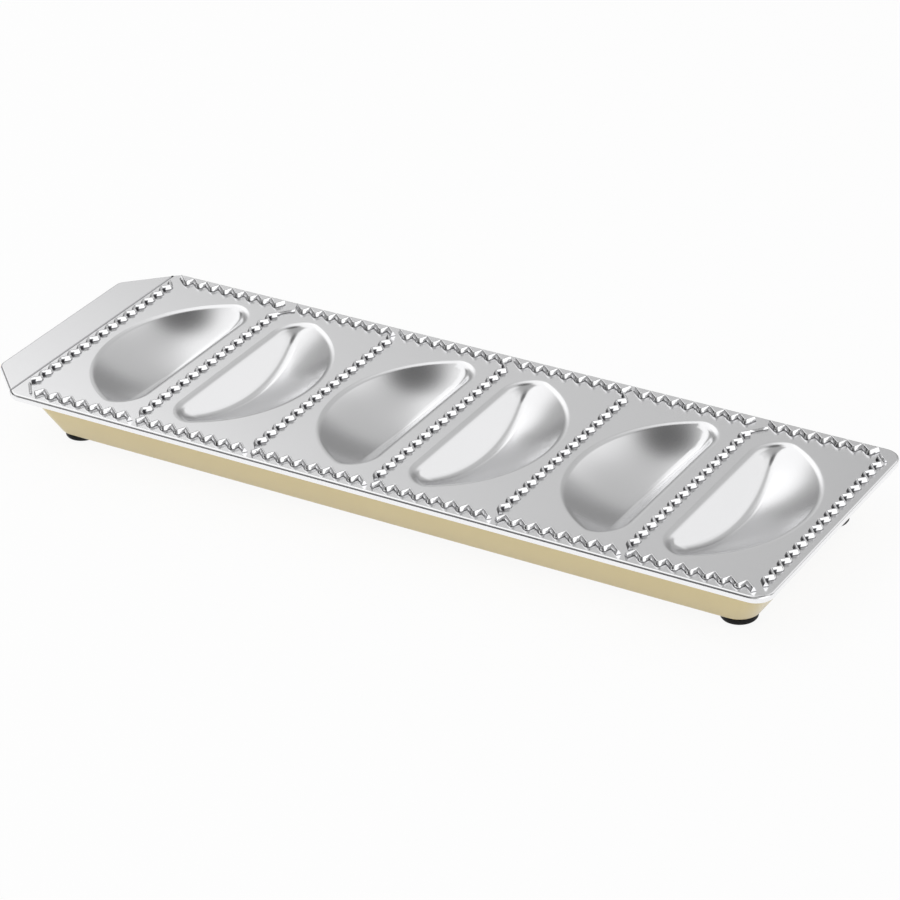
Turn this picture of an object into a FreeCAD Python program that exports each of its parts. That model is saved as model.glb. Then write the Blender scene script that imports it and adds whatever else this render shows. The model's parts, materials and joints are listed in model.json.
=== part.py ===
import FreeCAD, Part
import math
import os

# Half-moon ravioli mould: a stamped aluminium plate, hemmed over a painted
# steel frame that stands on four rubber feet. Millimetres, +Z up. The origin
# is at the middle of the footprint, on the surface that the feet stand on.

V = FreeCAD.Vector
UP = V(0, 0, 1)

# Plan of the plate: six cells in a row, ringed and divided by cutting ridges
cell_count = 6
cell_length = 51.0
ridge_span = 100.0
border = 5.2
plate_corner_radius = 7.0

# Aluminium sheet and its turned-down, hemmed rim
sheet = 0.8
rim_top_radius = 1.0
rim_bottom_bevel = 0.5
hem_return = 2.0
hem_gap = 0.2

# Hanging tab at the left end, with a stamped crease where it leaves the plate
tab_reach = 15.6
tab_corner_radius = 5.0
chamfer_run = 18.8
chamfer_rise = 17.0
crease_width = 0.9
crease_depth = 0.4

# Half-moon cavity: a spherical bowl cut off by a sloping flat wall, with the two
# corners of its mouth rounded. The margins are from the middle of the ridges to
# the edge of the mouth, and the spreads are the change in radius per unit of height.
bowl_depth = 12.7
apex_margin = 6.2
wall_margin = 8.4
end_margin = 4.4
mouth_corner_radius = 9.0
corner_spread = 0.45
arc_clearance = 1.0
arc_spread = 0.7
wall_slope = 47.0
rim_radius = 5.0
valley_radius = 5.0

# Zigzag cutting ridge, as the teeth of one row
teeth_per_cell = 8.5
cross_teeth = 16
row_swing = 1.6
ridge_base = 2.4
ridge_crest = 0.9
ridge_height = 1.8

# Short straight ridges across four junctions, as offsets of their two ends
link_width = 1.4
link_height = 1.4
divider_link = ((1.6, -6.0), (5.4, -1.5))
far_corner_link = ((-2.4, -0.6), (2.2, -5.6))
near_corner_link = ((-0.4, 2.2), (4.6, -2.6))

# Painted steel frame, drawn as a tapered tray with an open bottom
frame_sheet = 1.0
frame_drop = 19.2
frame_wall_inset = 4.2
frame_floor_inset = 12.4
frame_corner_radius = 7.5
frame_bend_radius = 2.0
floor_width = 15.0
window_corner_radius = 8.0
seat_gap = 0.2

# Rubber foot, pushed through a hole in the frame's floor
foot_radius = 6.7
foot_height = 2.6
foot_edge_bevel = 0.8
foot_inset = 7.2
stem_radius = 2.6
hole_gap = 0.15
bulb_radius = 3.7
bulb_height = 2.2

# What follows from the sizes above
rim_height = sheet + frame_sheet + hem_gap + sheet
ridge_length = cell_count * cell_length
plate_length = ridge_length + 2 * border
plate_width = ridge_span + 2 * border
plate_top = foot_height + frame_drop + sheet
plate_left = tab_reach / 2 - plate_length / 2
plate_right = plate_left + plate_length
ridge_left = plate_left + border
half_width = plate_width / 2
mouth_reach = cell_length - apex_margin - wall_margin
mouth_radius = ((ridge_span / 2 - end_margin) ** 2 + mouth_reach ** 2) / (2 * mouth_reach)
bowl_sphere_radius = (mouth_radius ** 2 + bowl_depth ** 2) / (2 * bowl_depth)


def rounded_path(corners, radii):
    """Closed wire through the corners, each rounded with its own tangent arc."""
    edges = []
    ends = []
    count = len(corners)
    for i, corner in enumerate(corners):
        before = (corners[i - 1] - corner).normalize()
        after = (corners[(i + 1) % count] - corner).normalize()
        half_angle = before.getAngle(after) / 2
        reach = radii[i] / math.tan(half_angle)
        middle = (before + after).normalize()
        middle_reach = radii[i] / math.sin(half_angle) - radii[i]
        ends.append((corner + before * reach, corner + middle * middle_reach, corner + after * reach))
    for i in range(count):
        start, through, stop = ends[i]
        edges.append(Part.Arc(start, through, stop).toShape())
        edges.append(Part.LineSegment(stop, ends[(i + 1) % count][0]).toShape())
    return Part.Wire(edges)


def rounded_rectangle(inset, radius, z):
    """Wire parallel to the plate's own rectangle, moved inwards by the inset."""
    left = plate_left + inset
    right = plate_right - inset
    side = half_width - inset
    corners = [V(left, -side, z), V(right, -side, z), V(right, side, z), V(left, side, z)]
    return rounded_path(corners, [radius] * 4)


def slab(wire, depth):
    """Flat solid from a wire downwards."""
    return Part.Face(wire).extrude(V(0, 0, -depth))


def plate_outline(z):
    """Rectangle of the plate with the hanging tab's trapezoid at its left end."""
    chamfer_start = plate_left - tab_reach + chamfer_run
    tab_end = plate_left - tab_reach
    tab_side = half_width - chamfer_rise
    corners = [
        V(plate_right, -half_width, z),
        V(plate_right, half_width, z),
        V(chamfer_start, half_width, z),
        V(tab_end, tab_side, z),
        V(tab_end, -tab_side, z),
        V(chamfer_start, -half_width, z),
    ]
    radii = [plate_corner_radius] * 3 + [tab_corner_radius] * 2 + [plate_corner_radius]
    return rounded_path(corners, radii)


def level_edges(shape, z, tolerance=0.01):
    """Edges that lie in the horizontal plane at height z."""
    boxes = [(e, e.BoundBox) for e in shape.Edges]
    return [e for e, box in boxes if abs(box.ZMin - z) < tolerance and abs(box.ZMax - z) < tolerance]


def blank():
    """Sheet with its turned-down rim and the hem that grips the frame's flange."""
    outline = plate_outline(plate_top)
    block = slab(outline, rim_height)
    block = block.makeFillet(rim_top_radius, level_edges(block, plate_top))
    block = block.makeChamfer(rim_bottom_bevel, level_edges(block, plate_top - rim_height))
    pocket_wire = outline.makeOffset2D(-sheet)
    pocket_wire.translate(V(0, 0, -sheet))
    block = block.cut(slab(pocket_wire, rim_height))
    hem_top = plate_top - rim_height + sheet
    hem = slab(rounded_rectangle(sheet / 2, plate_corner_radius - sheet / 2, hem_top), sheet)
    hem_inset = sheet + hem_return
    hem = hem.cut(slab(rounded_rectangle(hem_inset, plate_corner_radius - hem_inset, hem_top), sheet))
    hem_start = plate_left - tab_reach + chamfer_run + plate_corner_radius
    plate_part = Part.makeBox(plate_length, plate_width, plate_top, V(hem_start, -half_width, 0))
    return block.fuse(hem.common(plate_part))


def tab_crease():
    """Rounded groove across the sheet where the tab begins."""
    radius = (crease_width ** 2 / 4 + crease_depth ** 2) / (2 * crease_depth)
    centre = V(plate_left + rim_top_radius, -half_width, plate_top - crease_depth + radius)
    return Part.makeCylinder(radius, plate_width, centre, V(0, 1, 0))


def moon_outline(level, grow):
    """Half moon round the cavity at a height above the plate, with its two corners rounded.

    The straight side follows the sloping wall, and the arc stays just clear of the ball.
    """
    slope = math.radians(wall_slope)
    centre = V(cell_length - apex_margin - mouth_radius, 0, 0)
    wall_x = wall_margin - level / math.tan(slope) - grow / math.sin(slope)
    arc = mouth_radius + arc_clearance + level * arc_spread + grow * bowl_sphere_radius / mouth_radius
    corner = mouth_corner_radius + level * corner_spread + grow / math.sin(slope)
    corner_x = wall_x + corner
    corner_y = math.sqrt((arc - corner) ** 2 - (corner_x - centre.x) ** 2)
    sides = []
    for y in (-corner_y, corner_y):
        middle = V(corner_x, y, 0)
        outward = (middle - centre).normalize()
        bisector = (outward - V(1, 0, 0)).normalize()
        sides.append((middle - V(corner, 0, 0), middle + bisector * corner, centre + outward * arc))
    near, far = sides
    edges = [
        Part.LineSegment(far[0], near[0]),
        Part.Arc(near[0], near[1], near[2]),
        Part.Arc(near[2], centre + V(arc, 0, 0), far[2]),
        Part.Arc(far[2], far[1], far[0]),
    ]
    wire = Part.Wire([edge.toShape() for edge in edges])
    wire.translate(V(0, 0, plate_top + level))
    return wire


def cavity_void(grow, top):
    """Air inside the half moon at the cell's left divider, grown by a sheet's thickness where asked.

    It is a ball cut off by the sloping wall and by the rounded corners, with the
    edge between them rounded along the valley.
    """
    centre = V(cell_length - apex_margin - mouth_radius, 0, plate_top + bowl_sphere_radius - bowl_depth)
    ball = Part.makeSphere(bowl_sphere_radius + grow)
    ball.rotate(V(0, 0, 0), UP, 180)
    ball.translate(centre)
    levels = (arc_clearance / 2, -bowl_depth - sheet)
    moon = Part.makeLoft([moon_outline(level, grow) for level in levels], True, True)
    void = ball.common(moon)
    sphere = max((face for face in void.Faces if "Sphere" in face.Surface.TypeId), key=lambda face: face.Area)
    valley = [edge for edge in sphere.Edges if edge.BoundBox.ZMin < plate_top]
    void = void.makeFillet(valley_radius + grow, valley)
    reach = 4 * cell_length
    below = Part.makeBox(reach, reach, reach, V(-reach / 2, -reach / 2, top - reach))
    return void.common(below)


def cell_block(top, height):
    """Block of the first cell, from halfway between its ridges and the cavity's mouth."""
    margin = end_margin / 2
    corner = V(margin, margin - ridge_span / 2, top - height)
    return Part.makeBox(cell_length - 2 * margin, ridge_span - 2 * margin, height, corner)


def pressed_cell():
    """Sheet of one cell, pressed down into the half moon."""
    height = bowl_depth + 2 * sheet
    above = cell_block(plate_top, height)
    sides = [edge.Length for edge in above.Edges]
    above = above.cut(cavity_void(0.0, plate_top))
    mouth = [e for e in level_edges(above, plate_top) if not any(math.isclose(e.Length, s) for s in sides)]
    above = above.makeFillet(rim_radius, mouth)
    under = cell_block(plate_top - sheet, height)
    return above.cut(under.cut(cavity_void(sheet, plate_top - sheet)))


def band_outline(count, step, start_side, width, z):
    """Corners round a zigzag band along +X."""
    miter = width / 2 / math.cos(math.atan2(2 * row_swing, step))
    rails = ([], [])
    for i in range(count + 1):
        y = row_swing * (start_side if i % 2 == 0 else -start_side)
        rails[0].append(V(i * step, y + miter, z))
        rails[1].append(V(i * step, y - miter, z))
    return rails[0] + rails[1][::-1]


def flat_face(points):
    return Part.Face(Part.makePolygon(points + points[:1]))


def ridge_between(base, crest):
    """Solid ridge with flat flanks from the corners of its base and of its crest."""
    count = len(base)
    faces = [flat_face(base), flat_face(crest)]
    for i in range(count):
        j = (i + 1) % count
        faces.append(flat_face([base[i], base[j], crest[j], crest[i]]))
    shell = Part.Shell(faces)
    shell.sewShape()
    solid = Part.Solid(shell)
    if solid.Volume < 0:
        solid.reverse()
    return solid


def zigzag_ridge(count, step, start_side):
    """One row of teeth along +X, from the first peak at the origin."""
    base = band_outline(count, step, start_side, ridge_base, plate_top)
    crest = band_outline(count, step, start_side, ridge_crest, plate_top + ridge_height)
    return ridge_between(base, crest)


def link_ridge(junction, ends):
    """Short straight ridge beside a junction."""
    start, stop = [junction + V(x, y, 0) for x, y in ends]
    along = (stop - start).normalize()
    across = V(-along.y, along.x, 0)
    levels = []
    for width, height in ((link_width, 0.0), (link_width * ridge_crest / ridge_base, link_height)):
        half = across * (width / 2)
        end = along * (width / 2)
        ring = [start - end - half, stop + end - half, stop + end + half, start - end + half]
        levels.append([V(p.x, p.y, plate_top + height) for p in ring])
    return ridge_between(levels[0], levels[1])


def cutting_ridges():
    """Rows along the four sides and between the cells, with the short links at four junctions."""
    long_step = cell_length / teeth_per_cell / 2
    long_count = round(ridge_length / long_step)
    cross_step = ridge_span / (cross_teeth + 1) / 2
    cross_count = 2 * cross_teeth
    side = ridge_span / 2
    ridges = []
    for y, start_side in ((-side, -1), (side, 1)):
        row = zigzag_ridge(long_count, long_step, start_side)
        row.translate(V(ridge_left, y, 0))
        ridges.append(row)
    for i in range(cell_count + 1):
        row = zigzag_ridge(cross_count, cross_step, 1 if i == 0 else -1)
        row.rotate(V(0, 0, 0), UP, 90)
        row.translate(V(ridge_left + i * cell_length, -side + cross_step, 0))
        ridges.append(row)
    for i in (1, cell_count - 1):
        ridges.append(link_ridge(V(ridge_left + i * cell_length, side, 0), divider_link))
    ridges.append(link_ridge(V(ridge_left + ridge_length, side, 0), far_corner_link))
    ridges.append(link_ridge(V(ridge_left, -side, 0), near_corner_link))
    return ridges


def mould_plate():
    """Blank with its six half moons, in mirrored pairs, and its cutting ridges."""
    plate = blank().cut(tab_crease())
    pressed = pressed_cell()
    hole = cell_block(plate_top + sheet, 3 * sheet)
    cells = []
    for i in range(cell_count):
        place = V(ridge_left + i * cell_length, 0, 0)
        cell = pressed.copy() if i % 2 else pressed.mirror(V(cell_length / 2, 0, 0), V(1, 0, 0))
        cells.append(cell.translate(place))
        plate = plate.cut(hole.copy().translate(place))
    plate = plate.fuse(cells)
    plate = plate.fuse(cutting_ridges())
    return plate.removeSplitter()


def tray(wall_offset, top_z, floor_z):
    """Tapered solid of the frame's tray, moved inwards from its outside by the wall offset."""
    taper = (frame_floor_inset - frame_wall_inset) / (frame_drop - frame_sheet)
    flange_under = plate_top - sheet - frame_sheet
    wires = []
    for z in (top_z, floor_z):
        inset = frame_wall_inset + taper * (flange_under - z) + wall_offset
        wires.append(rounded_rectangle(inset, frame_corner_radius - wall_offset, z))
    return Part.makeLoft(wires, True, True)


def base_frame():
    """Tray with a flange round its top, a window in its floor and a hole for each foot."""
    flange_top = plate_top - sheet
    flange_inset = sheet + seat_gap
    flange_outline = rounded_rectangle(flange_inset, plate_corner_radius - flange_inset, flange_top)
    flange = slab(flange_outline, frame_sheet)
    outside = tray(0.0, flange_top - frame_sheet, foot_height)
    outside = outside.makeFillet(frame_bend_radius, level_edges(outside, foot_height))
    slant = math.hypot(1.0, (frame_floor_inset - frame_wall_inset) / (frame_drop - frame_sheet))
    body = flange.fuse(outside).cut(tray(frame_sheet * slant, flange_top, foot_height + frame_sheet))
    window_inset = frame_floor_inset + floor_width
    window = slab(rounded_rectangle(window_inset, window_corner_radius, plate_top), plate_top)
    body = body.cut(window)
    for place in foot_places():
        hole = Part.makeCylinder(stem_radius + hole_gap, foot_height + 3 * frame_sheet, place)
        body = body.cut(hole)
    return body


def foot_places():
    """Centres of the four feet, on the standing surface."""
    inset = frame_floor_inset + foot_inset
    xs = (plate_left + inset, plate_right - inset)
    ys = (-half_width + inset, half_width - inset)
    return [V(x, y, 0) for y in ys for x in xs]


def foot(place):
    """Rubber pad with a stem through the frame's floor and a bulb that holds it there."""
    floor_top = foot_height + frame_sheet
    bulb_top = floor_top + bulb_height
    outline = [
        V(0, 0, 0),
        V(foot_radius - foot_edge_bevel, 0, 0),
        V(foot_radius, 0, foot_edge_bevel),
        V(foot_radius, 0, foot_height),
        V(stem_radius, 0, foot_height),
        V(stem_radius, 0, floor_top),
        V(bulb_radius, 0, floor_top),
        V(stem_radius, 0, bulb_top),
        V(0, 0, bulb_top),
    ]
    pad = flat_face(outline).revolve(V(0, 0, 0), UP, 360)
    pad.translate(place)
    return pad


os.makedirs("parts", exist_ok=True)
nodes = {"mould_plate": mould_plate(), "base_frame": base_frame()}
foot_names = ("foot_near_left", "foot_near_right", "foot_far_left", "foot_far_right")
for name, place in zip(foot_names, foot_places()):
    nodes[name] = foot(place)
for name, shape in nodes.items():
    shape.exportStep(os.path.join("parts", name + ".step"))
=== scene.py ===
import json
import math
import bmesh
import bpy
import numpy as np
from mathutils import Matrix, Vector, geometry

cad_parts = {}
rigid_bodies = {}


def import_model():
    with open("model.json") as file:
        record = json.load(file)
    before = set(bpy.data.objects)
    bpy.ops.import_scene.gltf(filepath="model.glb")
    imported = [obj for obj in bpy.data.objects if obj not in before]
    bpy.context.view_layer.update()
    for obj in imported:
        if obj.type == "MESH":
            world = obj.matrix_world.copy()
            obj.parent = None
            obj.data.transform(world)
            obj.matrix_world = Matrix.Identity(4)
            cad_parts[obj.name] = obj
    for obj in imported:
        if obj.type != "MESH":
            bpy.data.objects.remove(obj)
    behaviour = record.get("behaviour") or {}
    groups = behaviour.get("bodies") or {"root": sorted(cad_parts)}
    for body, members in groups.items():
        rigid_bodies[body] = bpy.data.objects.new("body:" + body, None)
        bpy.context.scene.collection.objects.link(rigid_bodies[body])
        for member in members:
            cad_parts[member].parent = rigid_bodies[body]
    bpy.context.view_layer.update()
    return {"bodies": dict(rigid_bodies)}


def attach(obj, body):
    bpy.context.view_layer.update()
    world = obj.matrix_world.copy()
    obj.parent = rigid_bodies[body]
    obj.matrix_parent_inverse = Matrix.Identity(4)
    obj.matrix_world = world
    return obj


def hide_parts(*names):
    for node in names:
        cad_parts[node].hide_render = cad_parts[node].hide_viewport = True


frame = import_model()
body = next(iter(frame["bodies"]))

# Pressed sheet: one satin aluminium sheet with six half moons pressed down into it. Its rim is turned down
# and hemmed under the frame's flange, and a hanging tab with a stamped crease is left at one end.
# Lengths are in millimetres, and heights count from the top of the sheet.

cells = 6
cell_length = 51.0
ridge_span = 100.0
half_span = ridge_span / 2
ridge_left = -145.2
ridge_right = ridge_left + cells * cell_length
plate_left, plate_right = -150.4, 166.0
plate_top = 22.6
half_width = 55.2
plate_corner = 7.0
sheet_thickness = 0.8
tab_reach = 15.6
tab_rise = 17.0
tab_run = 18.8
tab_corner = 5.0

bowl_depth = 12.7
apex_margin = 6.2
wall_margin = 8.4
end_margin = 4.4
wall_lean = math.radians(47.0)
valley_radius = 5.0
rim_radius = 5.0
corner_radius = 9.0
corner_spread = 0.45
arc_clearance = 1.0
arc_spread = 0.7
deepest_point = np.array([24.0, 0.0])

steps_along, steps_across = 34, 66
rim_steps = 9
bowl_steps = 31

mouth_reach = cell_length - apex_margin - wall_margin
mouth_radius = ((half_span - end_margin) ** 2 + mouth_reach ** 2) / (2 * mouth_reach)
ball_radius = (mouth_radius ** 2 + bowl_depth ** 2) / (2 * bowl_depth)
ball_centre = np.array([cell_length - apex_margin - mouth_radius, 0.0, ball_radius - bowl_depth])


def moon_side(points):
    """Distance outside the half moon's sloping side, and the direction of that side, at each height."""
    level = points[..., 2]
    draft = 1 / math.tan(wall_lean)
    wall = wall_margin - level * draft
    arc = mouth_radius + arc_clearance + level * arc_spread
    corner = corner_radius + corner_spread * level
    middle_x = wall + corner
    middle_y = np.sqrt((arc - corner) ** 2 - (middle_x - ball_centre[0]) ** 2)
    x, y = points[..., 0], np.abs(points[..., 1])
    reach = np.maximum(np.hypot(x - ball_centre[0], y), 1e-9)
    to_wall = middle_x - x
    to_arc = reach - (arc - corner)
    to_corner = np.maximum(np.hypot(x - middle_x, y - middle_y), 1e-9)
    facing_arc = (x - ball_centre[0]) / reach * (arc - corner) + ball_centre[0] >= middle_x
    at_wall = np.where(to_wall > 0, y <= middle_y, to_wall > to_arc)
    at_arc = ~at_wall & ((to_wall <= 0) & (to_arc <= 0) | facing_arc & (to_arc > 0))
    distance = np.where(at_wall, to_wall, np.where(at_arc, to_arc, to_corner)) - corner
    out_x = np.where(at_wall, -1.0, np.where(at_arc, (x - ball_centre[0]) / reach, (x - middle_x) / to_corner))
    out_y = np.where(at_wall, 0.0, np.where(at_arc, y / reach, (y - middle_y) / to_corner))
    out_y = out_y * np.sign(points[..., 1])
    lean = math.sin(wall_lean)
    out_z = np.full_like(out_x, -math.cos(wall_lean))
    return distance * lean, np.stack([out_x * lean, out_y * lean, out_z], -1)


def outside_bowl(points):
    """How far points of the metal lie outside the half moon's hollow, with its valley rounded."""
    offset = points - ball_centre
    reach = np.linalg.norm(offset, axis=-1)
    ball = reach - ball_radius + valley_radius
    moon, moon_out = moon_side(points)
    moon = moon + valley_radius
    cosine = np.clip((offset / reach[..., None] * moon_out).sum(-1), -1.0, 0.9999)
    spread = 1 - cosine ** 2
    rounded = (ball > moon * cosine) & (moon > ball * cosine)
    bend = np.sqrt(np.maximum(ball ** 2 + moon ** 2 - 2 * ball * moon * cosine, 0.0) / spread)
    return np.where(rounded, bend, np.maximum(ball, moon)) - valley_radius


def steepest(points):
    """Unit direction in which the distance from the hollow grows."""
    step = 1e-3
    moves = np.eye(3) * step
    rise = np.stack([outside_bowl(points + m) - outside_bowl(points - m) for m in moves], -1)
    return rise / np.linalg.norm(rise, axis=-1, keepdims=True)


def halve(low, high, inside):
    """Meets the surface between low and high; inside tells which side a place is on."""
    for _ in range(40):
        middle = (low + high) / 2
        yes = inside(middle)
        high = np.where(yes, high, middle)
        low = np.where(yes, middle, low)
    return (low + high) / 2


def cell_border():
    """Points round the cell's own rectangle, shared with its neighbours."""
    xs = np.linspace(0, cell_length, steps_along + 1)
    ys = np.linspace(-half_span, half_span, steps_across + 1)
    ring = [(x, -half_span) for x in xs[:-1]] + [(cell_length, y) for y in ys[:-1]]
    ring += [(x, half_span) for x in xs[:0:-1]] + [(0.0, y) for y in ys[:0:-1]]
    return np.array(ring)


def bowl_height(flat):
    """Heights of the bowl's surface over places in the plan."""
    top, bottom = np.zeros(len(flat)), np.full(len(flat), -bowl_depth - 1.0)
    return halve(top, bottom, lambda z: outside_bowl(np.column_stack([flat, z])) < 0)


def pressed_rings():
    """Rings of points and normals from the cell's rectangle to the bottom of its half moon, and the bottom."""
    border = cell_border()
    spoke = border - deepest_point
    zero, one = np.zeros(len(border)), np.ones(len(border))

    def at_rim(share):
        return np.column_stack([deepest_point + spoke * share[:, None], np.full(len(border), -rim_radius)])

    centre = at_rim(halve(zero, one, lambda share: outside_bowl(at_rim(share)) < rim_radius))
    down = -steepest(centre)
    up = np.array([0.0, 0.0, 1.0])
    rings = [(np.column_stack([border, zero]), np.tile(up, (len(border), 1)))]
    turn = np.arccos(np.clip(down[:, 2], -1, 1))
    for part in np.linspace(0, 1, rim_steps):
        a = np.sin((1 - part) * turn) / np.sin(turn)
        b = np.sin(part * turn) / np.sin(turn)
        normal = a[:, None] * up + b[:, None] * down
        rings.append((centre + rim_radius * normal, normal))
    edge = rings[-1][0][:, :2]
    for part in np.linspace(0, 1, bowl_steps)[1:-1]:
        flat = edge + (deepest_point - edge) * part
        points = np.column_stack([flat, bowl_height(flat)])
        rings.append((points, -steepest(points)))
    pole = np.column_stack([deepest_point[None], bowl_height(deepest_point[None])])
    return rings, pole[0], -steepest(pole)[0]


def outline_points(steps=12):
    """The plate's outline with its tab, counterclockwise, as points and outward directions."""
    tab_end = plate_left - tab_reach
    chamfer_start = tab_end + tab_run
    corners = [(plate_right, -half_width), (plate_right, half_width), (chamfer_start, half_width),
               (tab_end, half_width - tab_rise), (tab_end, tab_rise - half_width), (chamfer_start, -half_width)]
    radii = [plate_corner] * 3 + [tab_corner] * 2 + [plate_corner]
    points = []
    for i, corner in enumerate(corners):
        here = Vector(corner)
        before = (Vector(corners[i - 1]) - here).normalized()
        after = (Vector(corners[(i + 1) % len(corners)]) - here).normalized()
        half = before.angle(after) / 2
        centre = here + (before + after).normalized() * (radii[i] / math.sin(half))
        sweep = math.pi - 2 * half
        first = math.atan2(before.x, -before.y)
        for k in range(steps + 1):
            angle = first + sweep * k / steps
            out = Vector((math.cos(angle), math.sin(angle)))
            points.append((centre + out * radii[i], out))
    return points


sheet_mesh = bmesh.new()
normal_layer = sheet_mesh.verts.layers.float_vector.new("normal")


def sheet_point(x, y, z, normal=(0.0, 0.0, 0.0)):
    """One vertex, given in millimetres from the top of the sheet."""
    vert = sheet_mesh.verts.new((x * 0.001, y * 0.001, (z + plate_top) * 0.001))
    vert[normal_layer] = normal
    return vert


def cell_point(cell, depth, point, normal):
    """One vertex of a cell, on its upper side or a sheet's depth below; every other cell is mirrored."""
    x, y, z = point - depth * normal
    start = ridge_left + cell * cell_length
    facing = -1 if depth else 1
    if cell % 2:
        return sheet_point(start + x, y, z, facing * normal)
    return sheet_point(start + cell_length - x, y, z, facing * normal * (-1, 1, 1))


def join_rings(rings, flip):
    """Faces between closed rings of vertices."""
    for outer, inner in zip(rings, rings[1:]):
        for i in range(len(outer)):
            j = (i + 1) % len(outer)
            face = (outer[i], outer[j], inner[j], inner[i])
            sheet_mesh.faces.new(face[::-1] if flip else face)


rings, pole, pole_normal = pressed_rings()
for cell in range(cells):
    for depth, kept in ((0.0, rings), (sheet_thickness, rings[:1] + rings[1::2])):
        flip = (cell % 2 == 0) != (depth > 0)
        made = [[cell_point(cell, depth, p, n) for p, n in zip(*ring)] for ring in kept]
        join_rings(made, flip)
        bottom = cell_point(cell, depth, pole, pole_normal)
        last = made[-1]
        for i in range(len(last)):
            face = (last[i], last[(i + 1) % len(last)], bottom)
            sheet_mesh.faces.new(face[::-1] if flip else face)

# The stamped crease across the root of the tab, which fades out at both ends
crease_middle = plate_left + 1.0
crease_width = 1.1
crease_depth = 0.5
crease_end = 52.4
crease_full = 0.96 * crease_end
crease_fade = 0.04 * crease_end
crease_xs = np.linspace(-crease_width / 2, crease_width / 2, 9)
crease_ys = np.array([-1.0, -0.985, -0.96, -0.9, *np.linspace(-0.8, 0.8, 9), 0.9, 0.96, 0.985, 1.0]) * crease_end
crease = []
for y in crease_ys:
    fade = math.sqrt(max(0.0, 1 - max(0.0, abs(y) - crease_full) ** 2 / crease_fade ** 2))
    row = []
    for x in crease_xs:
        turn = 2 * math.pi * x / crease_width
        z = -fade * crease_depth * (1 + math.cos(turn)) / 2
        slope = fade * crease_depth * math.pi / crease_width * math.sin(turn)
        flat = math.hypot(1.0, slope)
        row.append(sheet_point(crease_middle + x, y, z, (-slope / flat, 0.0, 1 / flat)))
    crease.append(row)
for low, high in zip(crease, crease[1:]):
    for i in range(len(low) - 1):
        sheet_mesh.faces.new((low[i], low[i + 1], high[i + 1], high[i]))

# The flat border between the cells, the crease and the turned-down rim, above and below
outline = outline_points()
cell_xs = np.linspace(0, cells * cell_length, cells * steps_along + 1) + ridge_left
cell_ys = np.linspace(-half_span, half_span, steps_across + 1)
cell_loop = [(x, -half_span) for x in cell_xs[:-1]] + [(ridge_right, y) for y in cell_ys[:-1]]
cell_loop += [(x, half_span) for x in cell_xs[:0:-1]] + [(ridge_left, y) for y in cell_ys[:0:-1]]
crease_left, crease_right = crease_middle + crease_xs[0], crease_middle + crease_xs[-1]
crease_loop = [(crease_middle + x, crease_ys[0]) for x in crease_xs[:-1]]
crease_loop += [(crease_right, y) for y in crease_ys[:-1]]
crease_loop += [(crease_middle + x, crease_ys[-1]) for x in crease_xs[:0:-1]]
crease_loop += [(crease_left, y) for y in crease_ys[:0:-1]]


def flat_border(inset, holes, z, up):
    """Triangles between the outline, moved inwards, and the holes' loops."""
    loops = [[tuple(p - out * inset) for p, out in outline]] + holes
    points, edges = [], []
    for loop in loops:
        first = len(points)
        points += [Vector(p) for p in loop]
        edges += [(first + i, first + (i + 1) % len(loop)) for i in range(len(loop))]
    made = geometry.delaunay_2d_cdt(points, edges, [], 1, 1e-6)
    verts = [sheet_point(p.x, p.y, z, (0.0, 0.0, up)) for p in made[0]]
    for face in made[2]:
        middle = sum((made[0][i] for i in face), Vector((0, 0))) / 3
        in_cells = ridge_left < middle.x < ridge_right and abs(middle.y) < half_span
        in_crease = crease_left < middle.x < crease_right and abs(middle.y) < crease_end
        if not in_cells and not (in_crease and crease_loop in holes):
            corners = [verts[i] for i in face]
            sheet_mesh.faces.new(corners if up > 0 else corners[::-1])


rim_bend = 1.0
flat_border(rim_bend, [cell_loop, crease_loop], 0.0, 1.0)
flat_border(sheet_thickness, [cell_loop], -sheet_thickness, -1.0)

# The rim: a tight bend, a short lip, and a hem that runs back under the frame's flange, but not at the tab
lip_height = 2.0
rim_drop = lip_height + sheet_thickness
hem_return = 2.0
hem_start = plate_left - tab_reach + tab_run + plate_corner
hem_fade = 3.0
rim_rings = []
for angle in np.linspace(0, math.pi / 2, 7):
    across, up = math.sin(angle), math.cos(angle)
    rim_rings.append((rim_bend - rim_bend * across, -rim_bend + rim_bend * up, across, up))
for angle in np.linspace(math.pi / 2, math.pi, 7):
    across, up = math.sin(angle), math.cos(angle)
    rim_rings.append((sheet_thickness - sheet_thickness * across, -lip_height + sheet_thickness * up, across, up))
made = []
for inset, z, across, up in rim_rings:
    made.append([sheet_point(*(p - out * inset), z, (out.x * across, out.y * across, up)) for p, out in outline])
for z, run in ((-rim_drop, hem_return), (-lip_height, hem_return), (-lip_height, 0.0), (-sheet_thickness, 0.0)):
    row = []
    for p, out in outline:
        hemmed = min(1.0, max(0.0, (p.x - hem_start) / hem_fade + 1.0))
        row.append(sheet_point(*(p - out * (sheet_thickness + run * hemmed)), z))
    made.append(row)
join_rings(made, True)

bmesh.ops.remove_doubles(sheet_mesh, verts=sheet_mesh.verts, dist=2e-6)
bmesh.ops.dissolve_degenerate(sheet_mesh, edges=sheet_mesh.edges, dist=1e-7)
sheet_data = bpy.data.meshes.new("pressed_sheet")
sheet_mesh.to_mesh(sheet_data)
sheet_mesh.free()
sheet_data.set_sharp_from_angle(angle=math.radians(40))
stored = np.zeros(len(sheet_data.vertices) * 3)
sheet_data.attributes["normal"].data.foreach_get("vector", stored)
sheet_data.normals_split_custom_set_from_vertices(stored.reshape(-1, 3).tolist())
sheet_data.attributes.remove(sheet_data.attributes["normal"])


def put_in_scene(name, data):
    """An object with this mesh, lamp or camera, put into the scene."""
    piece = bpy.data.objects.new(name, data)
    bpy.context.collection.objects.link(piece)
    return piece


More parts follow.
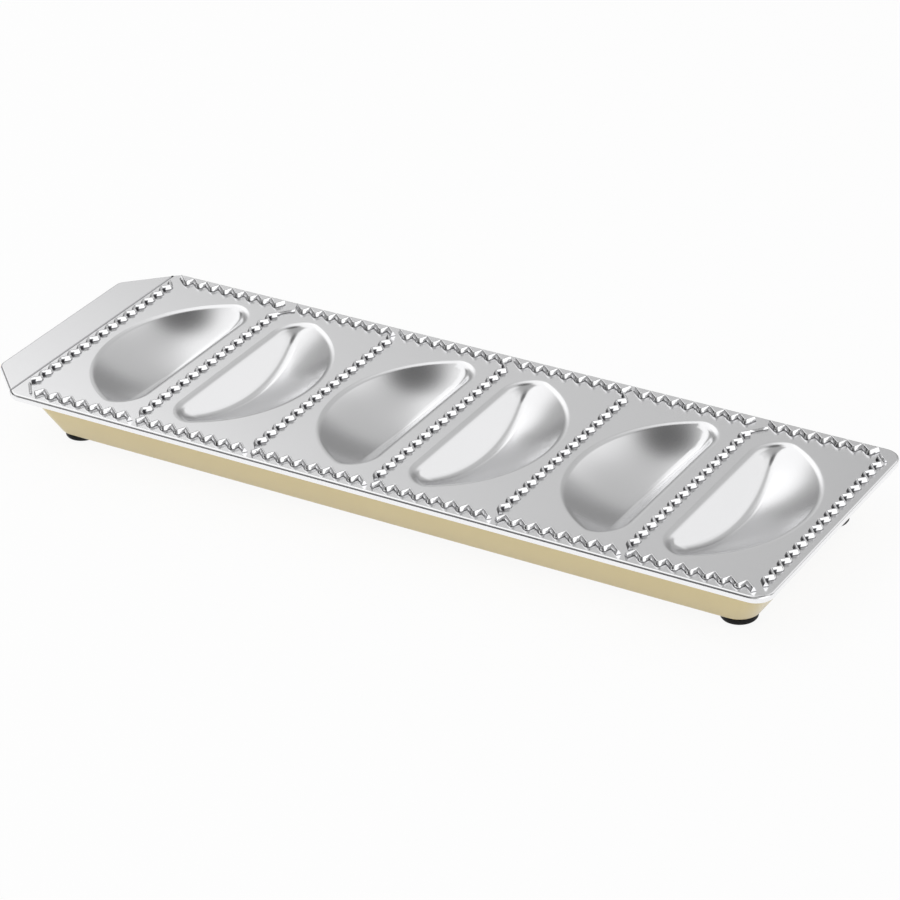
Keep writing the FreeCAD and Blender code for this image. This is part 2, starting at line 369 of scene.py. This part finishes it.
def add_node(tree, kind, values=None, **settings):
    """One node, with its settings and its sockets' values or links."""
    made = tree.nodes.new(kind)
    for key, value in settings.items():
        setattr(made, key, value)
    for key, value in (values or {}).items():
        socket = made.inputs[key]
        if isinstance(value, bpy.types.NodeSocket):
            tree.links.new(value, socket)
        else:
            socket.default_value = value
    return made


def figure(tree, operation, *values):
    """A Math node's output."""
    return add_node(tree, "ShaderNodeMath", dict(enumerate(values)), operation=operation).outputs[0]


def ramp(tree, value, start, stop, low=0.0, high=1.0, **settings):
    """A Map Range node's output, which goes from low at start to high at stop."""
    ends = {"Value": value, "From Min": start, "From Max": stop, "To Min": low, "To Max": high}
    return add_node(tree, "ShaderNodeMapRange", ends, **settings).outputs[0]


def mixed_colour(tree, share, low, high):
    """A Mix node's output, between two colours."""
    return add_node(tree, "ShaderNodeMix", {0: share, 6: low, 7: high}, data_type="RGBA").outputs[2]


def speckle(tree, scale, detail, coordinates=None):
    """A Noise Texture's output, on the object's own coordinates unless others are given."""
    place = coordinates or add_node(tree, "ShaderNodeTexCoord").outputs["Object"]
    return add_node(tree, "ShaderNodeTexNoise", {"Vector": place, "Scale": scale, "Detail": detail}).outputs["Fac"]


def new_material(name, **values):
    """Material with a Principled shader; returns it, its tree and the shader."""
    material = bpy.data.materials.new(name)
    material.use_nodes = True
    tree = material.node_tree
    shader = tree.nodes["Principled BSDF"]
    for key, value in values.items():
        shader.inputs[key.replace("_", " ")].default_value = value
    return material, tree, shader


def finish_with(tree, shader, colour, height, strength, distance):
    """Gives a shader its colour and a bump."""
    bump = add_node(tree, "ShaderNodeBump", {"Strength": strength, "Distance": distance, "Height": height})
    tree.links.new(bump.outputs[0], shader.inputs["Normal"])
    tree.links.new(colour, shader.inputs["Base Color"])


aluminium, tree, shader = new_material("satin_aluminium", Metallic=1.0)
place = add_node(tree, "ShaderNodeTexCoord").outputs["Object"]
rolled = add_node(tree, "ShaderNodeMapping", {"Vector": place, "Scale": (60.0, 2200.0, 2200.0)})
metal = mixed_colour(tree, speckle(tree, 1.0, 3.0, rolled.outputs[0]), (0.90, 0.90, 0.91, 1), (0.95, 0.95, 0.96, 1))
# Painted shade: a thin dark line along the crease's groove, standing in for the shade the stamped crease holds.
across = add_node(tree, "ShaderNodeSeparateXYZ", {"Vector": place}).outputs["X"]
from_crease = figure(tree, "ABSOLUTE", figure(tree, "ADD", across, -0.001 * crease_middle))
in_crease = ramp(tree, from_crease, 0.0002, 0.0006, 0.8, 0.0)
metal = mixed_colour(tree, in_crease, metal, (0.16, 0.16, 0.17, 1))
tree.links.new(ramp(tree, speckle(tree, 22.0, 2.0), 0.0, 1.0, 0.18, 0.23), shader.inputs["Roughness"])
finish_with(tree, shader, metal, speckle(tree, 2600.0, 2.0), 0.12, 0.00003)
sheet_data.materials.append(aluminium)
pressed_sheet = put_in_scene("pressed_sheet", sheet_data)
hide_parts("mould_plate")
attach(pressed_sheet, body)

# Cutting ridges: zigzag folds pressed up from the same aluminium sheet round every cell, with short straight
# folds across four of the junctions. Each row is a line that the node tree bends to and fro and sweeps with
# the fold's section. Painted shade darkens the folds at their roots, and on the cross rows in their near hollows
# and on the lower parts of their near left flanks.

sheet_top = 0.001 * plate_top
fold_metal, tree, shader = new_material("folded_aluminium", Metallic=1.0, Roughness=0.16)
coords = add_node(tree, "ShaderNodeTexCoord")
place = add_node(tree, "ShaderNodeSeparateXYZ", {"Vector": coords.outputs["Object"]}).outputs
facing = add_node(tree, "ShaderNodeSeparateXYZ", {"Vector": coords.outputs["Normal"]}).outputs
# Painted shade: the folds turn near black in a thin band just above the sheet, at their roots.
off_root = ramp(tree, place["Z"], sheet_top + 0.00003, sheet_top + 0.0003)
metal = mixed_colour(tree, off_root, (0.10, 0.10, 0.11, 1), (0.92, 0.92, 0.93, 1))
# Painted shade on the cross rows: on the lower parts of the flanks that face near and left, and as crescents low in
# the near hollows beside each row's line.
facing_near = ramp(tree, facing["Y"], -0.2, -0.4)
facing_left = ramp(tree, facing["X"], -0.3, -0.5)
below_crest = ramp(tree, place["Z"], sheet_top + 0.0016, sheet_top + 0.0010)
flank = figure(tree, "MULTIPLY", figure(tree, "MULTIPLY", facing_left, below_crest), facing_near)
crescent_shift = 0.0002
off_line = figure(tree, "ADD", place["X"], crescent_shift - 0.001 * ridge_left)
off_line = figure(tree, "WRAP", off_line, 0.0005 * cell_length, -0.0005 * cell_length)
on_line = ramp(tree, figure(tree, "ABSOLUTE", off_line), 0.0008, 0.0005)
low_down = ramp(tree, place["Z"], sheet_top + 0.0012, sheet_top + 0.0008)
crescent = figure(tree, "MULTIPLY", figure(tree, "MULTIPLY", facing_near, on_line), low_down)
slanted = add_node(tree, "ShaderNodeAttribute", attribute_name="slant").outputs["Fac"]
on_cross_row = figure(tree, "GREATER_THAN", slanted, 0.05)
painted_shade = figure(tree, "MULTIPLY", figure(tree, "MAXIMUM", flank, crescent), on_cross_row)
metal = mixed_colour(tree, painted_shade, metal, (0.05, 0.05, 0.055, 1))
finish_with(tree, shader, metal, speckle(tree, 900.0, 1.0), 0.5, 0.0002)

fold_tree = bpy.data.node_groups.new("zigzag_fold", "GeometryNodeTree")
fold_sizes = {"Half pitch": 0.0030, "Swing": 0.0018, "Base width": 0.0024, "Crest width": 0.0004,
              "Height": 0.0018, "Root": 0.0003, "Peak radius": 0.0006, "Crest radius": 0.0003}
fold_tree.interface.new_socket("Geometry", in_out="INPUT", socket_type="NodeSocketGeometry")
for name in fold_sizes:
    fold_tree.interface.new_socket(name, in_out="INPUT", socket_type="NodeSocketFloat")
fold_tree.interface.new_socket("Geometry", in_out="OUTPUT", socket_type="NodeSocketGeometry")
given = fold_tree.nodes.new("NodeGroupInput").outputs
result = fold_tree.nodes.new("NodeGroupOutput")


def fold_node(kind, values=None, **settings):
    """The first output of a node in the fold's tree."""
    return add_node(fold_tree, kind, values, **settings).outputs[0]


def row_mark(name):
    """A value that each row carries."""
    return fold_node("GeometryNodeInputNamedAttribute", {"Name": name}, data_type="FLOAT")


# Points half a pitch apart along the row, moved by turns to its two sides
line = fold_node("GeometryNodeMeshToCurve", {"Mesh": given["Geometry"]})
steps = figure(fold_tree, "DIVIDE", fold_node("GeometryNodeSplineLength"), given["Half pitch"])
count = figure(fold_tree, "ADD", figure(fold_tree, "ROUND", steps), 1.0)
points = fold_node("GeometryNodeResampleCurve", {"Curve": line, "Count": count}, mode="COUNT")
number = add_node(fold_tree, "GeometryNodeSplineParameter").outputs["Index"]
odd = figure(fold_tree, "MODULO", number, 2.0)
turn = figure(fold_tree, "SUBTRACT", 1.0, figure(fold_tree, "MULTIPLY", odd, 2.0))
swing = figure(fold_tree, "MULTIPLY", figure(fold_tree, "MULTIPLY", turn, row_mark("side")), given["Swing"])
along = fold_node("GeometryNodeInputTangent")
across = fold_node("ShaderNodeVectorMath", {0: (0, 0, 1), 1: along}, operation="CROSS_PRODUCT")
sideways = fold_node("ShaderNodeVectorMath", {0: across, "Scale": swing}, operation="SCALE")
slide = figure(fold_tree, "MULTIPLY", swing, row_mark("slant"))
onwards = fold_node("ShaderNodeVectorMath", {0: along, "Scale": slide}, operation="SCALE")
offset = fold_node("ShaderNodeVectorMath", {0: sideways, 1: onwards}, operation="ADD")
bent = fold_node("GeometryNodeSetPosition", {"Geometry": points, "Offset": offset})
eased = fold_node("GeometryNodeFilletCurve", {"Curve": bent, "Radius": given["Peak radius"], "Count": 4},
                  mode="POLY")
upright = fold_node("GeometryNodeSetCurveNormal", {"Curve": eased}, mode="Z_UP")

# The fold's section, sunk into the sheet. An upright line turns it over, so its bottom is the fold's crest.
tall = figure(fold_tree, "ADD", given["Height"], given["Root"])
section = fold_node("GeometryNodeCurvePrimitiveQuadrilateral", {
    "Bottom Width": given["Crest width"], "Top Width": given["Base width"], "Height": tall, "Offset": 0.0},
    mode="TRAPEZOID")
sink = figure(fold_tree, "SUBTRACT", given["Root"], figure(fold_tree, "MULTIPLY", tall, 0.5))
sunk = fold_node("GeometryNodeTransform", {
    "Geometry": section, "Translation": fold_node("ShaderNodeCombineXYZ", {"Y": sink})})
soft = fold_node("GeometryNodeFilletCurve", {"Curve": sunk, "Radius": given["Crest radius"], "Count": 3},
                 mode="POLY")
swept = fold_node("GeometryNodeCurveToMesh", {
    "Curve": upright, "Profile Curve": soft, "Scale": row_mark("bulk"), "Fill Caps": True})
real = fold_node("GeometryNodeRealizeInstances", {"Geometry": swept})
coated = fold_node("GeometryNodeSetMaterial", {"Geometry": real, "Material": fold_metal})
fold_tree.links.new(coated, result.inputs[0])

# Each row's two ends, then its side, slant and bulk. Rows stop short of each other, and more so of the links.
cross_folds = 17
cross_start = ridge_span / cross_folds / 2
near_gap, far_gap, cross_gap = 1.5, 1.2, 4.0
near_corner_gap, far_corner_gap = 6.0, 3.4
linked_far_gap, linked_cross_gap = 5.2, 8.0
row_slant, cross_slant = -0.35, 0.1
cross_side = 0.75
link_bulk = 0.55
linked = (1, cells - 1)
rows = []
links = []
for i in range(cells):
    x = ridge_left + i * cell_length
    start, stop = (near_gap if i else near_corner_gap), near_gap
    rows.append(((x + start, -half_span), (x + cell_length - stop, -half_span), -1.0, row_slant, 1.0))
    start = linked_far_gap if i in linked else far_gap
    stop = far_corner_gap if i == cells - 1 else far_gap
    rows.append(((x + start, half_span), (x + cell_length - stop, half_span), 1.0, row_slant, 1.0))
    if i in linked:
        links.append(((x + 0.4, half_span - 6.9), (x + 5.2, half_span - 1.5)))
for i in range(cells + 1):
    x = ridge_left + i * cell_length
    start, cross = (cross_start, -cross_side) if i else (near_corner_gap, cross_side)
    stop = linked_cross_gap if i in linked else cross_gap
    rows.append(((x, -half_span + start), (x, half_span - stop), cross, cross_slant, 1.0))
links.append(((ridge_right - 2.2, half_span - 0.5), (ridge_right + 1.9, half_span - 4.6)))
links.append(((ridge_left - 0.5, 4.2 - half_span), (ridge_left + 4.4, -1.6 - half_span)))
rows += [(near_end, far_end, 0.0, 0.0, link_bulk) for near_end, far_end in links]

lines = bpy.data.meshes.new("ridge_lines")
ends = [(p[0] * 0.001, p[1] * 0.001, sheet_top) for row in rows for p in row[:2]]
lines.from_pydata(ends, [(2 * i, 2 * i + 1) for i in range(len(rows))], [])
for column, name in enumerate(("side", "slant", "bulk"), 2):
    mark = lines.attributes.new(name, "FLOAT", "POINT")
    mark.data.foreach_set("value", [row[column] for row in rows for _ in range(2)])
guide = put_in_scene("ridge_lines", lines)
modifier = guide.modifiers.new("fold", "NODES")
modifier.node_group = fold_tree
for item in fold_tree.interface.items_tree:
    if item.in_out == "INPUT" and item.name in fold_sizes:
        modifier[item.identifier] = fold_sizes[item.name]
ridge_data = bpy.data.meshes.new_from_object(guide.evaluated_get(bpy.context.evaluated_depsgraph_get()))
bpy.data.objects.remove(guide)
ridge_data.shade_smooth()
cutting_ridges = put_in_scene("cutting_ridges", ridge_data)
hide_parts("mould_plate")
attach(cutting_ridges, body)

# Base frame: steel sheet drawn as a tapered tray, with a flange on top that the plate's hem grips and a
# window in its floor. It has a cream enamel coat.

frame_sheet = 1.0
flange_under = plate_top - (sheet_thickness + frame_sheet)
flange_inset = 1.0
flange_bend = 1.2
flange_bend_inset = 3.2
wall_inset = 4.2
floor_inset = 12.4
frame_drop = 19.2
floor_under = 2.6
floor_bend = 2.4
window_inset = 27.4
wall_across = 1.1
bend_shift = 0.2
edge_bulge, edge_round = 0.05, 0.15
window_round = 0.2
top_corner, wall_corner = 6.0, 7.5
corner_steps = 16


def frame_ring(inset, z):
    """Rounded rectangle parallel to the plate's, at one height."""
    radius = top_corner if inset < flange_bend_inset + 0.1 else wall_corner
    left, far = plate_left + inset, plate_right - inset
    near = half_width - inset
    ring = []
    for cx, cy, first in ((far - radius, -near + radius, -90), (far - radius, near - radius, 0),
                          (left + radius, near - radius, 90), (left + radius, -near + radius, 180)):
        for k in range(corner_steps + 1):
            angle = math.radians(first + 90 * k / corner_steps)
            point = (cx + radius * math.cos(angle), cy + radius * math.sin(angle), z)
            ring.append(tuple(c * 0.001 for c in point))
    return ring


# The sheet's section as insets and heights: the flange's edge, down the outside, the window, and back inside
lean = (floor_inset - wall_inset) / (frame_drop - frame_sheet)
wall_angle = math.atan(lean)
foot_of_wall = wall_inset + lean * (flange_under - floor_under - floor_bend)
section = [(flange_inset, flange_under + frame_sheet),
           (flange_inset - edge_bulge, flange_under + frame_sheet - edge_round),
           (flange_inset - edge_bulge, flange_under + edge_round), (flange_inset, flange_under)]
for k in range(7):
    angle = math.radians(90 * k / 6)
    section.append((flange_bend_inset + flange_bend * math.sin(angle) + bend_shift * k / 6,
                    flange_under - flange_bend + flange_bend * math.cos(angle)))
for k in range(1, 9):
    angle = (math.pi / 2 - wall_angle) * k / 8 + wall_angle
    inset = foot_of_wall + floor_bend * (math.cos(wall_angle) - math.cos(angle)) + bend_shift
    section.append((inset, floor_under + floor_bend * (1 - math.sin(angle))))
section += [(window_inset - window_round, floor_under), (window_inset, floor_under + window_round),
            (window_inset, floor_under + frame_sheet - window_round),
            (window_inset - window_round, floor_under + frame_sheet)]
for k in range(9):
    angle = math.pi / 2 - (math.pi / 2 - wall_angle) * k / 8
    inset = foot_of_wall + floor_bend * math.cos(wall_angle) - (floor_bend - frame_sheet) * math.cos(angle)
    section.append((inset + bend_shift,
                    floor_under + floor_bend - (floor_bend - frame_sheet) * math.sin(angle)))
section.append((wall_inset + wall_across + lean * frame_sheet, flange_under))
section.append((wall_inset + frame_sheet, flange_under + frame_sheet))

verts, faces = [], []
for inset, z in section:
    verts += frame_ring(inset, z)
around = 4 * (corner_steps + 1)
for k in range(len(section)):
    for i in range(around):
        j = (i + 1) % around
        a, b = k * around, ((k + 1) % len(section)) * around
        faces.append((a + i, b + i, b + j, a + j))
frame_data = bpy.data.meshes.new("enamel_frame")
frame_data.from_pydata(verts, [], faces)
shape = bmesh.new()
shape.from_mesh(frame_data)
bmesh.ops.recalc_face_normals(shape, faces=shape.faces)
shape.to_mesh(frame_data)
shape.free()
frame_data.shade_smooth()
frame_data.set_sharp_from_angle(angle=math.radians(40))

enamel, tree, shader = new_material("cream_enamel", Roughness=0.32, Coat_Weight=0.25, Coat_Roughness=0.12)
cream = mixed_colour(tree, speckle(tree, 30.0, 3.0), (0.745, 0.61, 0.31, 1), (0.805, 0.68, 0.365, 1))
finish_with(tree, shader, cream, speckle(tree, 900.0, 3.0), 0.1, 0.00004)
frame_data.materials.append(enamel)
enamel_frame = put_in_scene("enamel_frame", frame_data)
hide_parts("base_frame")
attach(enamel_frame, body)

# Feet: four black rubber pads with rounded edges and a shallow suction ring, each held by a stem and a head
# that are pushed through the frame's floor.

foot_inset = 19.6
foot_section = [(0, 0.5), (3.6, 0.5), (4.1, 0.4), (4.5, 0.08), (4.7, 0.0), (5.5, 0.0), (5.95, 0.1), (6.35, 0.35),
                (6.62, 0.75), (6.7, 1.2), (6.7, 2.35), (6.62, 2.52), (6.4, 2.6), (2.6, 2.6), (2.6, 3.6),
                (3.5, 3.6), (3.7, 3.75), (3.6, 4.1), (2.9, 5.5), (2.5, 5.8), (0, 5.8)]
foot_mesh = bmesh.new()
around = 56


def foot_ring(cx, cy, r, z):
    """Vertices round a foot's axis, or one vertex on it."""
    angles = [2 * math.pi * k / around for k in range(around if r else 1)]
    return [foot_mesh.verts.new(((cx + r * math.cos(t)) * 0.001, (cy + r * math.sin(t)) * 0.001, z * 0.001))
            for t in angles]


for cx in (plate_left + foot_inset, plate_right - foot_inset):
    for cy in (foot_inset - half_width, half_width - foot_inset):
        turned = [foot_ring(cx, cy, r, z) for r, z in foot_section]
        for low, high in zip(turned, turned[1:]):
            for i in range(around):
                j = (i + 1) % around
                if len(low) == 1:
                    foot_mesh.faces.new((low[0], high[j], high[i]))
                elif len(high) == 1:
                    foot_mesh.faces.new((low[i], low[j], high[0]))
                else:
                    foot_mesh.faces.new((low[i], low[j], high[j], high[i]))
foot_data = bpy.data.meshes.new("rubber_feet")
foot_mesh.to_mesh(foot_data)
foot_mesh.free()
foot_data.shade_smooth()
foot_data.set_sharp_from_angle(angle=math.radians(45))

rubber, tree, shader = new_material("black_rubber", Roughness=0.5, Specular_IOR_Level=0.15)
mould_grain = speckle(tree, 1400.0, 2.0)
black = mixed_colour(tree, mould_grain, (0.008, 0.008, 0.009, 1), (0.014, 0.014, 0.014, 1))
finish_with(tree, shader, black, mould_grain, 0.2, 0.00005)
foot_data.materials.append(rubber)
rubber_feet = put_in_scene("rubber_feet", foot_data)
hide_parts("foot_near_left", "foot_near_right", "foot_far_left", "foot_far_right")
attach(rubber_feet, body)

# Studio: a white table that takes a faint shadow, one soft lamp, and a surround whose bright and dark
# areas stand where the metal has to show them. The camera sees the surround as plain white.

floor_data = bpy.data.meshes.new("table")
floor_data.from_pydata([(-4, -4, 0), (4, -4, 0), (4, 4, 0), (-4, 4, 0)], [], [(0, 1, 2, 3)])
white_table, tree, shader = new_material("white_table", Base_Color=(0.9, 0.9, 0.9, 1), Roughness=0.6)
path = add_node(tree, "ShaderNodeLightPath").outputs
seen = figure(tree, "MAXIMUM", path["Is Camera Ray"], path["Is Glossy Ray"])
seen = figure(tree, "MAXIMUM", seen, path["Is Transmission Ray"])
glow = add_node(tree, "ShaderNodeEmission", {"Color": (1, 1, 1, 1), "Strength": 1.0})
share = figure(tree, "MULTIPLY", seen, 0.92)
blend = add_node(tree, "ShaderNodeMixShader", {0: share, 1: shader.outputs[0], 2: glow.outputs[0]})
tree.links.new(blend.outputs[0], tree.nodes["Material Output"].inputs["Surface"])
floor_data.materials.append(white_table)
floor = put_in_scene("table", floor_data)

# Areas of the surround: azimuth, angle from straight up, the full area's and the edge's radius, and level
panels = [(64, 43, 15, 31, 0.88), (97, 46, 9, 21, 0.51), (103, 29, 9, 24, 0.54), (126, 35, 7, 20, 0.70),
          (105, 81, 8, 20, 0.26), (165, 31, 23, 34, 1.03), (139, 54, 8, 15, 1.16), (140, 86, 6, 15, 0.26),
          (53, 67, 9, 17, 0.92), (68, 13, 6, 15, 0.07), (242, 47, 13, 22, 0.10), (121, 75, 4, 11, 0.50),
          (120.5, 64, 4, 9, 0.60), (-18, 80, 26, 40, 1.3), (184, 77, 14, 24, 0.02), (250, 92, 20, 30, 0.02),
          (289, 90, 6, 16, 0.02)]
world = bpy.data.worlds.new("studio")
bpy.context.scene.world = world
world.use_nodes = True
tree = world.node_tree
tree.nodes.clear()
where = add_node(tree, "ShaderNodeTexCoord").outputs["Generated"]
strength = 0.39
for azimuth, zenith, full, edge, level in panels:
    a, z = math.radians(azimuth), math.radians(zenith)
    toward = (math.cos(a) * math.sin(z), math.sin(a) * math.sin(z), math.cos(z))
    near = add_node(tree, "ShaderNodeVectorMath", {0: where, 1: toward}, operation="DOT_PRODUCT").outputs["Value"]
    share = ramp(tree, near, math.cos(math.radians(edge)), math.cos(math.radians(full)),
                 interpolation_type="SMOOTHSTEP")
    strength = add_node(tree, "ShaderNodeMix", {0: share, 2: strength, 3: level}, data_type="FLOAT").outputs[0]
white = (1, 1, 1, 1)
surround, even, backdrop = [add_node(tree, "ShaderNodeBackground", {"Color": white, "Strength": level}).outputs[0]
                            for level in (strength, 0.75, 1.0)]
path = add_node(tree, "ShaderNodeLightPath").outputs
lit = add_node(tree, "ShaderNodeMixShader", {0: path["Is Glossy Ray"], 1: even, 2: surround})
seen = figure(tree, "MAXIMUM", path["Is Camera Ray"], path["Is Transmission Ray"])
shown = add_node(tree, "ShaderNodeMixShader", {0: seen, 1: lit.outputs[0], 2: backdrop})
add_node(tree, "ShaderNodeOutputWorld", {"Surface": shown.outputs[0]})

lamp_data = bpy.data.lights.new("soft_panel", "AREA")
lamp_data.energy = 6.0
lamp_data.shape = "DISK"
lamp_data.size = 1.2
lamp = put_in_scene("soft_panel", lamp_data)
lamp.location = (-0.9, -0.5, 1.4)
lamp.rotation_euler = (-lamp.location).to_track_quat("-Z", "Y").to_euler()
lamp.visible_glossy = False

# Camera: it stands where the photograph was taken from, beyond the near right corner, and looks down at
# the mould with a long lens and a slight roll.

scene = bpy.context.scene
azimuth, elevation, roll = math.radians(32.631), math.radians(29.714), math.radians(-2.801)
target = Vector((0.02095, -0.01667, 0.0226))
distance = 1.20988
across = Vector((math.cos(azimuth), math.sin(azimuth), 0.0))
level_back = Vector((math.sin(azimuth), -math.cos(azimuth), 0.0))
back = math.cos(elevation) * level_back + Vector((0.0, 0.0, math.sin(elevation)))
upward = back.cross(across)
rolled_across = math.cos(roll) * across + math.sin(roll) * upward
rolled_up = -math.sin(roll) * across + math.cos(roll) * upward
camera_data = bpy.data.cameras.new("camera")
camera_data.lens = 135.21
camera_data.sensor_width = 36.0
camera_data.clip_end = 50.0
camera = put_in_scene("camera", camera_data)
turned = Matrix((rolled_across, rolled_up, back)).transposed()
camera.matrix_world = Matrix.Translation(target + back * distance) @ turned.to_4x4()
scene.camera = camera
scene.view_settings.view_transform = "Standard"
